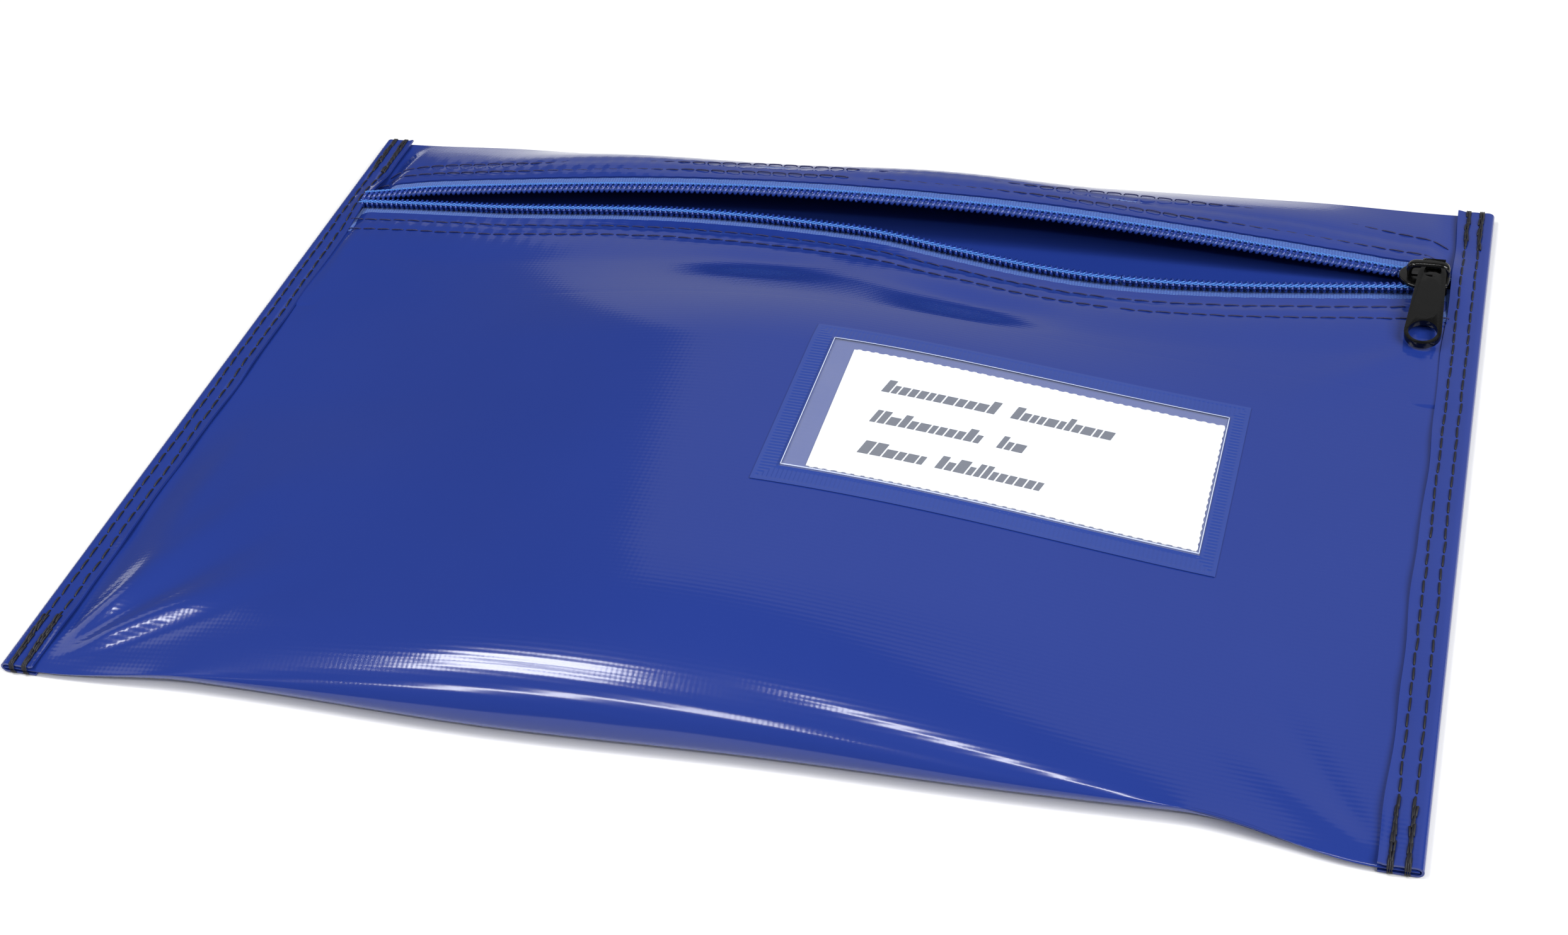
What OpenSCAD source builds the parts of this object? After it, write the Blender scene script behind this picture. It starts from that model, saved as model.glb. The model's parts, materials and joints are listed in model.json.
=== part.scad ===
// Zipped deposit bag of coated fabric, lying on its back with the zip open.
// X runs along the zip, Y from the bottom fold to the top fold, Z up.
// The origin is under the middle of the bag, on the surface it lies on.

/* [Bag] */
// Width along the zip
bag_w = 350; // [340:1:360]
// Height from the bottom fold to the top fold
bag_h = 245; // [240:1:250]
// Thickness of the coated fabric
sheet_t = 0.6; // [0.5:0.05:0.65]
// Height of the bulge in the front panel
dome_h = 20; // [16:1:22]
// Place of the bulge's peak along the zip
dome_x = -12; // [-25:1:0]
// Height of the rolled bottom fold
roll_h = 11; // [9:0.5:12]

/* [Bindings] */
// Width of the side bindings
binding_w = 9.8; // [9:0.1:10]
// Thickness of a folded binding
binding_h = 3.1; // [3:0.05:3.2]

/* [Zip] */
// Radius of a coil
coil_r = 1.3; // [1.1:0.05:1.3]
// Thickness of the zip tape
tape_t = 0.5; // [0.4:0.05:0.5]
// Width of a zip tape
tape_w = 16; // [14:0.5:16]
// Height of the coils at the zip's ends
row_z = 4.6; // [4.5:0.05:4.7]
// How far the front lip is pulled down at the widest part of the mouth
mouth_gape = 11.7; // [8:0.1:12]

/* [Slider] */
// Length of the slider
slider_l = 13.7; // [13:0.1:13.7]
// Height of the puller's hinge line
crown_z = 10.1; // [10:0.05:10.3]
// Length of the puller beyond its hinge line
puller_l = 31; // [28:0.5:31]
// Width of the puller's ring
ring_w = 9.8; // [9:0.1:9.8]
// Radius of the hole in the ring
ring_r = 3.8; // [3.4:0.1:3.9]
// Angle at which the puller slopes down at rest
puller_rest = 8; // [7:0.5:9]

/* [Label] */
// Width of the window film
film_w = 116; // [112:1:118]
// Height of the window film
film_h = 65; // [62:1:67]
// Width of the address card
card_w = 98; // [90:1:99]
// Height of the address card
card_h = 48; // [44:1:49]

/* [Hidden] */

blue = "royalblue";
navy = "midnightblue";
half_w = bag_w / 2;
half_h = bag_h / 2;
seam_x = half_w - binding_w;     // inner edge of the bindings
sheet_x = half_w - 1;            // the panels' own side edges, inside the bindings
lip_x = seam_x - 0.4;            // ends of the zip and its hems
edge_z = 2.45;                   // top of the front panel under the bindings
mid_z = 1.6;                     // middle of the flattened side edges
panel_end_y = 48;                // upper edge of the front panel, under the hem
hem_y = 33;                      // lower edge of the front hem
roll_y = -72;                    // where the front panel starts to roll under
fold_r = 9;                      // depth of the folds in the back panel
top_y = half_h - 1;              // top fold
hem_gap = 0.35;                  // air between the front hem and the panel
film_gap = 0.5;                  // height of the card pocket
grid_x = 34;                     // cells along the panels

// Smooth step from 0 to 1
function ease(t) = let (u = max(0, min(1, t))) u * u * (3 - 2 * u);
// Rounded bump of half width w around c
function bump(x, c, w) = let (t = min(1, abs(x - c) / w)) pow(1 - t * t, 2);
function mix(a, b, t) = a + (b - a) * t;
function steps(a, b, n) = [for (i = [0:n]) mix(a, b, i / n)];
// Columns of a panel, flat where the bindings hold it
panel_xs = concat([-sheet_x], steps(-seam_x, seam_x, grid_x - 2), [sheet_x]);

// Outline of the bag's bulge along the zip
function dome(x) = x < dome_x ? ease((x + 168) / (dome_x + 168)) : ease((168 - x) / (168 - dome_x));
// 1 in the middle of the bag, 0 at its side edges
function inner(x) = ease((166 - abs(x)) / 45);
function side_fade(x) = ease((seam_x - abs(x)) / 8);

// The two rows of coils: the front one sags to open the mouth, the back one arches up
function front_y(x) = 84 + 4 * bump(x, -50, 75) - mouth_gape * bump(x, 76, x < 76 ? 81 : 108);
function back_y(x) = 87 + 2.4 * ease((170 - abs(x)) / 30) + 2.6 * ease((150 - abs(x)) / 120);
function front_z(x) = row_z + 2.8 * max(0, 1 - pow((x + 45) / (x < -45 ? 122 : 200), 2));
function back_z(x) = row_z + 10 * pow(max(0, 1 - pow((x + 12) / 160, 2)), 1.15);

// Upper surface of the front panel, with or without its flattened side edges
function front_top(x, y, fade) =
    mix(edge_z + dome_h * dome(x), edge_z + (front_z(x) - edge_z - 0.4) * fade,
        ease((y - 12) / (front_y(x) - 16)));
function panel_top(x, y) = front_top(x, y, side_fade(x));
// Upper surface of the hem, at distance c from the front coils
function hem_top(x, c) =
    front_top(x, front_y(x) - max(c, 4), 1) + (sheet_t + hem_gap) * ease((c - 4) / 10);
// Upper surface of the strip behind the zip, at distance c from the back coils
function strip_top(x, c, fade) =
    let (q = 1 - c / (top_y - back_y(x)), low = fold_top_z(x) + sheet_t)
    low + (back_z(x) + 0.2 - low) * fade * sin(90 * min(1, q / 0.62)) - 0.6 * ease((9 - c) / 6);

function bottom_y(x) = -half_h + inner(x) * (1.5 + 4 * ease((x + 60) / 200));
function roll_z(x) = mid_z + (roll_h / 2 - mid_z) * inner(x);
function fold_top_z(x) = mid_z + 1.2 * inner(x);
function back_low(x) = 0.75 * ease((abs(x) - 158) / 7);

// Closed sheet between two grids of points, given row by row
module sheet(upper, lower) {
    rows = len(upper);
    cols = len(upper[0]);
    n = rows * cols;
    points = concat([for (r = upper) each r], [for (r = lower) each r]);
    top = [for (i = [0:rows - 2], j = [0:cols - 2])
        let (a = i * cols + j) each [[a, a + 1, a + cols], [a + 1, a + cols + 1, a + cols]]];
    bottom = [for (f = top) [f[2] + n, f[1] + n, f[0] + n]];
    rim = concat(
        [for (j = [0:cols - 2]) [j + 1, j]],
        [for (i = [0:rows - 2]) [i * cols, (i + 1) * cols]],
        [for (j = [0:cols - 2]) [(rows - 1) * cols + j, (rows - 1) * cols + j + 1]],
        [for (i = [0:rows - 2]) [(i + 2) * cols - 1, (i + 1) * cols - 1]]);
    walls = [for (e = rim) each [[e[0], e[1], e[1] + n], [e[0], e[1] + n, e[0] + n]]];
    polyhedron(points, concat(top, bottom, walls));
}

// Bar swept along points, with a square section of the given half size
module bar(path, r) {
    upper = [for (p = path) [p + [0, -r, r], p + [0, r, r]]];
    lower = [for (p = path) [p + [0, -r, -r], p + [0, r, -r]]];
    sheet(upper, lower);
}

// Round bar swept along points
module coil_bar(path, r, sides) {
    n = len(path);
    points = [for (p = path, k = [0:sides - 1])
        p + r * [0, cos(360 * k / sides), sin(360 * k / sides)]];
    skin = [for (i = [0:n - 2], k = [0:sides - 1])
        let (a = i * sides + k, b = i * sides + (k + 1) % sides)
        each [[a, a + sides, b + sides], [a, b + sides, b]]];
    start = [[for (k = [0:sides - 1]) k]];
    end = [[for (k = [0:sides - 1]) n * sides - 1 - k]];
    polyhedron(points, concat(skin, start, end));
}

// Front panel: the dome, rolled under at the bottom fold
function front_section(x, t) = concat(
    [for (y = steps(panel_end_y, roll_y, 13)) [x, y, panel_top(x, y) - t]],
    [for (a = steps(0, 90, 7)) if (a > 0)
        [x, roll_y - (roll_y - bottom_y(x) - t) * sin(a),
            roll_z(x) + (panel_top(x, roll_y) - roll_z(x) - t) * cos(a)]]);

module front_panel() {
    color(blue)
    sheet([for (x = panel_xs) front_section(x, 0)],
        [for (x = panel_xs) front_section(x, sheet_t)]);
}

// Back panel: flat on the table, with half of each fold at its ends
function back_section(x, t) = let (low = back_low(x), inset = t > 0 ? sheet_t : 0) concat(
    [for (a = steps(90, 0, 5))
        [x, bottom_y(x) + fold_r - (fold_r - inset) * sin(a),
            roll_z(x) - 0.05 - (roll_z(x) - 0.05 - low - inset) * cos(a)]],
    [for (y = steps(-half_h + 30, top_y - 30, 4)) [x, y, low + inset]],
    [for (a = steps(0, 90, 5))
        [x, top_y - fold_r + (fold_r - inset) * sin(a),
            fold_top_z(x) - 0.05 - (fold_top_z(x) - 0.05 - low - inset) * cos(a)]]);

module back_panel() {
    color(blue)
    sheet([for (x = panel_xs) back_section(x, 1)],
        [for (x = panel_xs) back_section(x, 0)]);
}

// Strip between the top fold and the zip
function strip_section(x, t) =
    [for (c = steps(top_y - back_y(x), tape_w + 1, 9))
        [x, back_y(x) + c, strip_top(x, c, side_fade(x)) - t]];

module top_strip() {
    color(blue)
    sheet([for (x = panel_xs) strip_section(x, 0)],
        [for (x = panel_xs) strip_section(x, sheet_t)]);
}

// Folded edges of the panels, which lie on the zip tapes
function front_hem_section(x, t) =
    [for (c = steps(4, front_y(x) - hem_y, 10)) [x, front_y(x) - c, hem_top(x, c) - t]];
function back_hem_section(x, t) =
    [for (c = steps(tape_w + 0.6, 4, 4)) [x, back_y(x) + c, strip_top(x, c, 1) - t]];

module front_hem() {
    color(blue)
    sheet([for (x = steps(-lip_x, lip_x, grid_x)) front_hem_section(x, 0)],
        [for (x = steps(-lip_x, lip_x, grid_x)) front_hem_section(x, sheet_t - 0.05)]);
}

module back_hem() {
    color(blue)
    sheet([for (x = steps(-lip_x, lip_x, grid_x)) back_hem_section(x, 0)],
        [for (x = steps(-lip_x, lip_x, grid_x)) back_hem_section(x, sheet_t - 0.1)]);
}

// Zip tapes, under the hems and the coils
function front_tape_section(x, t) =
    [for (c = steps(-1, tape_w - 1, 4)) [x, front_y(x) - c, hem_top(x, c) - 1 - t]];
function back_tape_section(x, t) =
    [for (c = steps(tape_w - 1, -1, 4)) [x, back_y(x) + c, strip_top(x, max(c, 4), 1) - 1 - t]];

module zip_tape_front() {
    color("mediumblue")
    sheet([for (x = steps(-lip_x, lip_x, grid_x)) front_tape_section(x, 0)],
        [for (x = steps(-lip_x, lip_x, grid_x)) front_tape_section(x, tape_t)]);
}

module zip_tape_back() {
    color("mediumblue")
    sheet([for (x = steps(-lip_x, lip_x, grid_x)) back_tape_section(x, 0)],
        [for (x = steps(-lip_x, lip_x, grid_x)) back_tape_section(x, tape_t)]);
}

module zip_coil_front() {
    color("dodgerblue")
    coil_bar([for (x = steps(-lip_x, lip_x, 60)) [x, front_y(x), front_z(x)]], coil_r, 8);
}

module zip_coil_back() {
    color("dodgerblue")
    coil_bar([for (x = steps(-lip_x, lip_x, 60)) [x, back_y(x), back_z(x)]], coil_r, 8);
}

// Bindings: strips folded round the side edges, made for the right side
module binding() {
    leg = 0.7;
    wall = 0.6;
    translate([0, half_h, 0])
    rotate([90, 0, 0])
    linear_extrude(bag_h)
    polygon([[seam_x, 0], [half_w, 0], [half_w, binding_h], [seam_x, binding_h],
        [seam_x, binding_h - wall], [half_w - wall, binding_h - wall], [half_w - wall, leg],
        [seam_x, leg]]);
}

module left_binding() {
    color(blue)
    mirror([1, 0, 0])
    binding();
}

module right_binding() {
    color(blue)
    binding();
}

// Seams: two rows of thread on each binding and beside each coil
tack_l = 16;
thread_h = 0.3;
binding_rows = [3.5, 7.2];
module binding_thread() {
    for (row = binding_rows)
        translate([half_w - row - 0.25, tack_l - half_h + 1, binding_h + 0.02])
        cube([0.5, bag_h - 2 * tack_l - 2, thread_h]);
}

module left_binding_thread() {
    color("black")
    mirror([1, 0, 0])
    binding_thread();
}

module right_binding_thread() {
    color("black")
    binding_thread();
}

module front_zip_thread() {
    color(navy)
    for (c = [8.5, 14])
        bar([for (x = steps(-lip_x, lip_x, 44)) [x, front_y(x) - c, hem_top(x, c) + 0.32]], 0.2);
}

module back_zip_thread() {
    color(navy)
    for (c = [8.5, 14])
        bar([for (x = steps(-lip_x, lip_x, 44)) [x, back_y(x) + c, strip_top(x, c, 1) + 0.36]], 0.2);
}

// Dense back-stitched ends of the binding seams
module corner_tacks() {
    color("black")
    for (side = [0, 1], top = [0, 1], row = binding_rows)
        mirror([side, 0, 0])
        mirror([0, top, 0])
        translate([half_w - row - 0.6, half_h - tack_l, binding_h + 0.02])
        cube([1.2, tack_l - 0.5, 0.6]);
}

// Slider: two plates joined by a wedge between the two rows of coils
slider_x = lip_x - slider_l + 0.2;
slider_y = 84.9;
plate_lo = row_z - coil_r - tape_t - 0.3;
plate_hi = row_z + coil_r + 0.15;
plate_t = 1;
shoulder = 6.2;
tail = 4.5;
rail = 0.75;

module slider_outline() {
    polygon([[0, -shoulder + 1.6], [1.6, -shoulder], [5, -shoulder + 0.2], [slider_l - 1, -tail],
        [slider_l, -tail + 1], [slider_l, tail - 1], [slider_l - 1, tail], [5, shoulder - 0.2],
        [1.6, shoulder], [0, shoulder - 1.6]]);
}

module slider_rail() {
    polygon([[1.2, shoulder - 0.3], [1.2, shoulder - rail - 0.15], [slider_l - 0.4, tail - rail - 0.1],
        [slider_l - 0.4, tail - 0.1], [5, shoulder - 0.3]]);
}

pin_x = 8.2;
pin_r = 0.5;
module slider_body() {
    color("black")
    translate([slider_x, slider_y, 0])
    difference() {
        union() {
            translate([0, 0, plate_lo - 0.8])
            linear_extrude(0.8) slider_outline();
            translate([0, 0, plate_hi])
            linear_extrude(plate_t) slider_outline();
            translate([0, 0, plate_lo - 0.1])
            linear_extrude(plate_hi - plate_lo + 0.2)
            polygon([[0.2, -1.2], [0.2, 1.2], [4.2, 0.3], [4.2, -0.3]]);
            translate([0, 0, row_z - coil_r + 0.15])
            linear_extrude(plate_hi - row_z + coil_r) slider_rail();
            mirror([0, 1, 0])
            translate([0, 0, row_z - coil_r + 0.15])
            linear_extrude(plate_hi - row_z + coil_r) slider_rail();
        }
        translate([pin_x, 0, plate_hi - 1])
        cylinder(h = plate_t + 2, r = pin_r + 0.1, $fn = 32);
    }
}

// Cap: the bridge over the slider that the puller hangs on
cap_lo = 2;
cap_hi = slider_l - 0.1;
cap_leg = 1.25;
bar_r = 1.15;
module slider_cap() {
    base_z = plate_hi + plate_t + 0.02;
    color("black")
    translate([slider_x, slider_y, 0])
    union() {
        translate([cap_lo + cap_leg / 2, 0, crown_z])
        rotate([0, 90, 0])
        cylinder(h = cap_hi - cap_lo - cap_leg, r = bar_r, $fn = 48);
        for (x = [cap_lo, cap_hi - cap_leg])
            translate([x, -bar_r, base_z])
            cube([cap_leg, 2 * bar_r, crown_z - base_z]);
        for (x = [cap_lo, cap_hi - cap_leg])
            translate([x, 0, crown_z])
            rotate([0, 90, 0])
            cylinder(h = cap_leg, r = bar_r, $fn = 48);
    }
}

// Pawl: a leaf on the top plate with a pin that locks into the coils
module lock_pawl() {
    leaf_z = plate_hi + plate_t + 0.04;
    color("silver")
    translate([slider_x, slider_y, 0])
    union() {
        translate([cap_lo + cap_leg + 0.15, -0.7, leaf_z])
        cube([pin_x - cap_lo - cap_leg + 0.6, 1.4, 0.35]);
        translate([pin_x, 0, plate_hi + 0.05])
        cylinder(h = leaf_z - plate_hi, r = pin_r, $fn = 32);
    }
}

// Puller: a curl under the cap's bar, a thin blade in a raised rim, and a ring
puller_x = 9.1;
eye_w = 6.2;
eye_arm = 1.1;
eye_far = 5;
curl_in = bar_r + 0.12;
curl_out = 1.95;
rim_t = 1.8;
ring_c = puller_l - ring_w / 2;

// Sector of a tube along X, open at the top so that the bar shows
module puller_curl() {
    rotate([0, 90, 0])
    rotate([0, 0, -135])
    translate([0, 0, -eye_w / 2])
    rotate_extrude(angle = 270, $fn = 64)
    translate([curl_in - 0.2, 0])
    square([curl_out - curl_in + 0.2, eye_w]);
}

module puller_blank() {
    union() {
        translate([0, 0, -rim_t / 2])
        linear_extrude(rim_t)
        polygon([[-eye_w / 2, -curl_in - 0.3], [eye_w / 2, -curl_in - 0.3],
            [ring_w / 2 - 0.35, -ring_c - 1], [0.35 - ring_w / 2, -ring_c - 1]]);
        translate([0, -ring_c, -rim_t / 2])
        cylinder(h = rim_t, d = ring_w, $fn = 64);
        puller_curl();
    }
}

module puller() {
    color("black")
    translate([slider_x + puller_x, slider_y, crown_z])
    rotate([puller_rest, 0, 0])
    rotate([0, 0, -1.5])
    difference() {
        puller_blank();
        rotate([0, 0, 1.5])
        rotate([0, 90, 0])
        translate([0, 0, -eye_w])
        cylinder(h = 2 * eye_w, r = curl_in, $fn = 64);
        translate([-eye_w / 2 + eye_arm, -eye_far, -2 * curl_out])
        cube([eye_w - 2 * eye_arm, eye_far - 0.3, 4 * curl_out]);
        translate([0, -ring_c, -rim_t])
        cylinder(h = 2 * rim_t, r = ring_r, $fn = 64);
        for (z = [rim_t / 2 - 0.4, -rim_t / 2 - 0.6])
            translate([0, 0, z])
            linear_extrude(1)
            polygon([[-2.3, -eye_far - 1.5], [2.3, -eye_far - 1.5], [3.2, -ring_c + ring_r + 2.2],
                [-3.2, -ring_c + ring_r + 2.2]]);
    }
}

// Label: a clear film welded to the front panel on four sides, and the card under it
film_x = 3.5;
film_y = 21;
weld_left = 6;
weld_right = 4.5;
weld_side = 6;
film_t = 0.4;
film_xs = concat([film_x, film_x + weld_left - 0.5],
    steps(film_x + weld_left, film_x + film_w - weld_right, 14),
    [film_x + film_w - weld_right + 0.5, film_x + film_w]);
film_ys = concat([film_y, film_y - weld_side + 0.5],
    steps(film_y - weld_side, film_y - film_h + weld_side, 7),
    [film_y - film_h + weld_side - 0.5, film_y - film_h]);
function in_pocket(i, j) = i > 1 && i < len(film_xs) - 2 && j > 1 && j < len(film_ys) - 2;
function film_lift(i, j) = in_pocket(i, j) ? film_gap + 0.35 : 0.12;

module window_film() {
    color("lightblue")
    sheet([for (i = [0:len(film_xs) - 1]) [for (j = [0:len(film_ys) - 1])
            [film_xs[i], film_ys[j], panel_top(film_xs[i], film_ys[j]) + film_lift(i, j) + film_t]]],
        [for (i = [0:len(film_xs) - 1]) [for (j = [0:len(film_ys) - 1])
            [film_xs[i], film_ys[j], panel_top(film_xs[i], film_ys[j]) + film_lift(i, j)]]]);
}

card_x = 16;
card_y = 11.5;
card_t = 0.3;
card_lift = 0.2;
module address_card() {
    color("ivory")
    sheet([for (x = steps(card_x, card_x + card_w, 14)) [for (y = steps(card_y, card_y - card_h, 6))
            [x, y, panel_top(x, y) + card_lift + card_t]]],
        [for (x = steps(card_x, card_x + card_w, 14)) [for (y = steps(card_y, card_y - card_h, 6))
            [x, y, panel_top(x, y) + card_lift]]]);
}

front_panel();
back_panel();
top_strip();
front_hem();
back_hem();
left_binding();
right_binding();
zip_tape_front();
zip_tape_back();
zip_coil_front();
zip_coil_back();
slider_body();
slider_cap();
lock_pawl();
puller();
window_film();
address_card();
left_binding_thread();
right_binding_thread();
front_zip_thread();
back_zip_thread();
corner_tacks();
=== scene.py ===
"""Looks of a zipped cash deposit bag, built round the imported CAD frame.

Lengths in the shape functions are millimetres, as in the CAD source; MM turns them into metres.
"""
import json
import math
import random

import bmesh
import bpy
import numpy as np
from mathutils import Matrix, Vector


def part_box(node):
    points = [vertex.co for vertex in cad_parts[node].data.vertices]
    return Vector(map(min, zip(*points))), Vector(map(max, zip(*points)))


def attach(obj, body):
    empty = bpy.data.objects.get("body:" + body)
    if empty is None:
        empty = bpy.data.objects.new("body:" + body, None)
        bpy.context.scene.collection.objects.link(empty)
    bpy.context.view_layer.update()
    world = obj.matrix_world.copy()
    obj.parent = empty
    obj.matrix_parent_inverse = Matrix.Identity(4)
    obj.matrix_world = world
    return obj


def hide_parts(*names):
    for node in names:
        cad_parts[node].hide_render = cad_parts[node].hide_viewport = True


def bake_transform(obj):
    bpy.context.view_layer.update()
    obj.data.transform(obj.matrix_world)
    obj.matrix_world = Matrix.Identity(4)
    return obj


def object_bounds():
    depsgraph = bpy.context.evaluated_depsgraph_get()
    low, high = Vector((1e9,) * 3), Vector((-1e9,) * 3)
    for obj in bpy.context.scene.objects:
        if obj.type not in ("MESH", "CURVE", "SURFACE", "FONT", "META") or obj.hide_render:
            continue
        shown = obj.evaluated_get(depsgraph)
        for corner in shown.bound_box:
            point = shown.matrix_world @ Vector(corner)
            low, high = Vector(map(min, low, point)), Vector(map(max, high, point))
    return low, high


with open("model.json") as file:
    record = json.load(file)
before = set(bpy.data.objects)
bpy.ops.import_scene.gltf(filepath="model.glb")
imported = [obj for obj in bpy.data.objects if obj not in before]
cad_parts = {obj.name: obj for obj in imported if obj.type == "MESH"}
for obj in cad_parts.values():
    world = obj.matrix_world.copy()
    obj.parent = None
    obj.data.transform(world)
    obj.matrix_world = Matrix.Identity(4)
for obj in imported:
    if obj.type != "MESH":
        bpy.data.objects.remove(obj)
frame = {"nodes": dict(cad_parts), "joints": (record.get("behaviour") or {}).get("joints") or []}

CAD_BOUNDS = [list(corner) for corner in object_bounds()]
MM = 0.001
random.seed(7)

# ---- sizes from the frame
BAG_HIGH = Vector(CAD_BOUNDS[1]) / MM
HALF_W = BAG_HIGH.x
HALF_H = BAG_HIGH.y
SEAM_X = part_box("right_binding")[0].x / MM       # inner edge of the bindings
LIP_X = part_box("front_hem")[1].x / MM            # ends of the zip
TOP_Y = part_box("top_strip")[1].y / MM            # top fold
BINDING_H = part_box("right_binding")[1].z / MM
FILM = [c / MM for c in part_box("window_film")]
CARD = [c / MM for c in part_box("address_card")]
SLIDER = [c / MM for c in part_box("slider_body")]
CAP = [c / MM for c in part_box("slider_cap")]

SHEET_T = 0.55
EDGE_Z = 2.45          # front panel under the bindings
MID_Z = 1.6            # middle of the flattened side edges
DOME_H = 20.0
DOME_X = -12.0
ROLL_Y = -72.0         # where the front starts to roll under
ROLL_H = 11.0
FOLD_R = 9.0
ROW_Z = 4.6            # coils at the zip's ends
GAPE = 11.7
COIL_END = 163.6       # the coils end under the right binding's lip
COIL_PITCH = 1.70
STITCH_PITCH = 4.9
HEM_Y = 33.0           # lower edge of the front hem
SKIRT = 19.0           # part of the hem under the panel
FRONT_SPLIT_X = 76.0   # widest part of the mouth
BACK_SPLIT_X = -5.0


# ---- shape of the bag, in mm
def ease(t):
    u = np.clip(t, 0, 1)
    return u * u * (3 - 2 * u)


def bump(x, centre, half_width):
    t = np.minimum(1, np.abs(x - centre) / half_width)
    return (1 - t * t) ** 2


def mix(a, b, t):
    return a + (b - a) * t


def dome(x):
    left = ease((x + 168) / (DOME_X + 168))
    right = ease((168 - x) / (168 - DOME_X))
    return np.where(x < DOME_X, left, right)


def inner(x):
    return ease((166 - np.abs(x)) / 45)


def side_fade(x):
    return ease((SEAM_X - np.abs(x)) / 8)


def front_y(x):
    return 84 + 4 * bump(x, -50, 75) - GAPE * bump(x, 76, np.where(x < 76, 81, 108))


def back_y(x):
    return 87 + 2.4 * ease((170 - np.abs(x)) / 30) + 2.6 * ease((150 - np.abs(x)) / 120)


def front_z(x):
    return ROW_Z + 2.8 * np.maximum(0, 1 - ((x + 45) / np.where(x < -45, 122, 200)) ** 2)


def back_z(x):
    return ROW_Z + 10 * np.maximum(0, 1 - ((x + 12) / 160) ** 2) ** 1.15


def ridge(x, y, start, end, width, height):
    """Long soft crease from start to end, highest in the middle of its length."""
    ax, ay = start
    bx, by = end
    length = math.hypot(bx - ax, by - ay)
    ux, uy = (bx - ax) / length, (by - ay) / length
    along = ((x - ax) * ux + (y - ay) * uy) / length
    across = (x - ax) * -uy + (y - ay) * ux
    spread = width * (0.35 + 0.65 * np.clip(along, 0, 1))
    body = ease(along / 0.25) * ease((1 - along) / 0.6)
    return height * body * np.exp(-(across / spread) ** 2)


def creases(x, y):
    """Folds and dimples of the front panel."""
    z = 3.6 * ease((x + 166) / 17) * ease((x + 62) / -70) * ease((-8 - y) / 50) * ease((y + 123) / 26)
    z = z + ridge(x, y, (-166, -121), (-122, -36), 9.0, 1.1)
    z = z + ridge(x, y, (-166, -121), (-108, -58), 6.5, -0.75)
    z = z + ridge(x, y, (-166, -121), (-96, -76), 8.0, 1.2)
    z = z + ridge(x, y, (-166, -121), (-104, -94), 4.2, -0.5)
    z = z + ridge(x, y, (-160, 62), (-92, 20), 12.0, 0.5)
    z = z + ridge(x, y, (166, -121), (120, -88), 6.0, 0.35)
    z = z + ridge(x, y, (166, -121), (132, -72), 5.0, -0.35)
    z = z + ridge(x, y, (164, 60), (118, 20), 9.0, 0.5)
    z = z - 1.7 * bump(x, 38, 34) * bump(y, 56, 20)
    z = z - 1.0 * bump(x, -28, 30) * bump(y, 66, 18)
    z = z + 0.2 * np.sin(x / 19.0 + 1.3) * np.sin(y / 31.0 + 0.4) * inner(x) * bump(y, -10, 100)
    return z * ease((166 - np.abs(x)) / 6)


def front_top(x, y, fade):
    """Upper surface of the front panel."""
    lip = EDGE_Z + (front_z(x) - EDGE_Z - 0.4) * fade
    top = mix(EDGE_Z + DOME_H * dome(x), lip, ease((y - 12) / (front_y(x) - 16)))
    lip_gap = ease((front_y(x) - 15 - y) / 10)
    return top + creases(x, y) * lip_gap


def panel_top(x, y):
    return front_top(x, y, side_fade(x))


def bottom_y(x):
    wave = 0.5 * np.sin(x / 21.0 + 0.6) * inner(x)
    return -HALF_H + inner(x) * (1.5 + 4 * ease((x + 60) / 200)) + wave


def roll_z(x):
    return MID_Z + (ROLL_H / 2 - MID_Z) * inner(x)


def roll_top(x, y):
    """Upper surface where the front rolls under: level at first, round near the bottom fold."""
    by, rz = bottom_y(x), roll_z(x)
    rise = EDGE_Z + DOME_H * dome(x) - rz
    reach = np.minimum(ROLL_Y - by, 9 + 1.75 * rise)
    t = np.clip(1 - (y - by) / reach, 0, 1)
    curve = (1 - t ** 2.15) ** (1 / 2.15)
    sag = 1 - 0.05 * ease((ROLL_Y - y) / 30)
    return rz + (rise * sag + creases(x, y)) * curve


def fold_top_z(x):
    return MID_Z + 1.2 * inner(x)


def back_low(x):
    return 0.75 * ease((np.abs(x) - 158) / 7)


def hem_lift(c):
    """Step up over the tape's edge under the hem, at distance c from the front coils."""
    return 0.55 * ease((c - 6) / 6) * ease((30 - c) / 12)


def seam_rows(x, front):
    """Distances of the two seam rows from the coil."""
    return 8.5, 14.0 + (0 if front else 5.5 * bump(x, 118, 80))


def puckers(x, c):
    """Small gathers along the two seams beside a coil."""
    seam = np.exp(-((c - 8.5) / 1.6) ** 2) + np.exp(-((c - 14) / 1.6) ** 2)
    wave = 0.10 * np.sin(x * 2 * math.pi / STITCH_PITCH) + 0.12 * np.sin(x / 5.3 + 0.7) * np.sin(x / 11.0)
    return -0.16 * seam + wave * np.exp(-((c - 11) / 7.0) ** 2)


def hem_top(x, c):
    """Upper surface of the hem at distance c from the front coils."""
    y = front_y(x) - np.maximum(c, 4)
    return front_top(x, y, 1.0) + hem_lift(c) + puckers(x, c)


def strip_top(x, c, fade):
    """Upper surface of the strip behind the zip, at distance c from the back coils."""
    q = 1 - c / (TOP_Y - back_y(x))
    low = fold_top_z(x) + SHEET_T
    arch = np.sin(np.radians(90) * np.minimum(1, q / 0.62))
    lift = 0.95 * np.exp(-((c - 6) / 6.0) ** 2)
    return low + (back_z(x) + 0.2 - low + lift) * fade * arch + puckers(x, c) * fade


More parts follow.
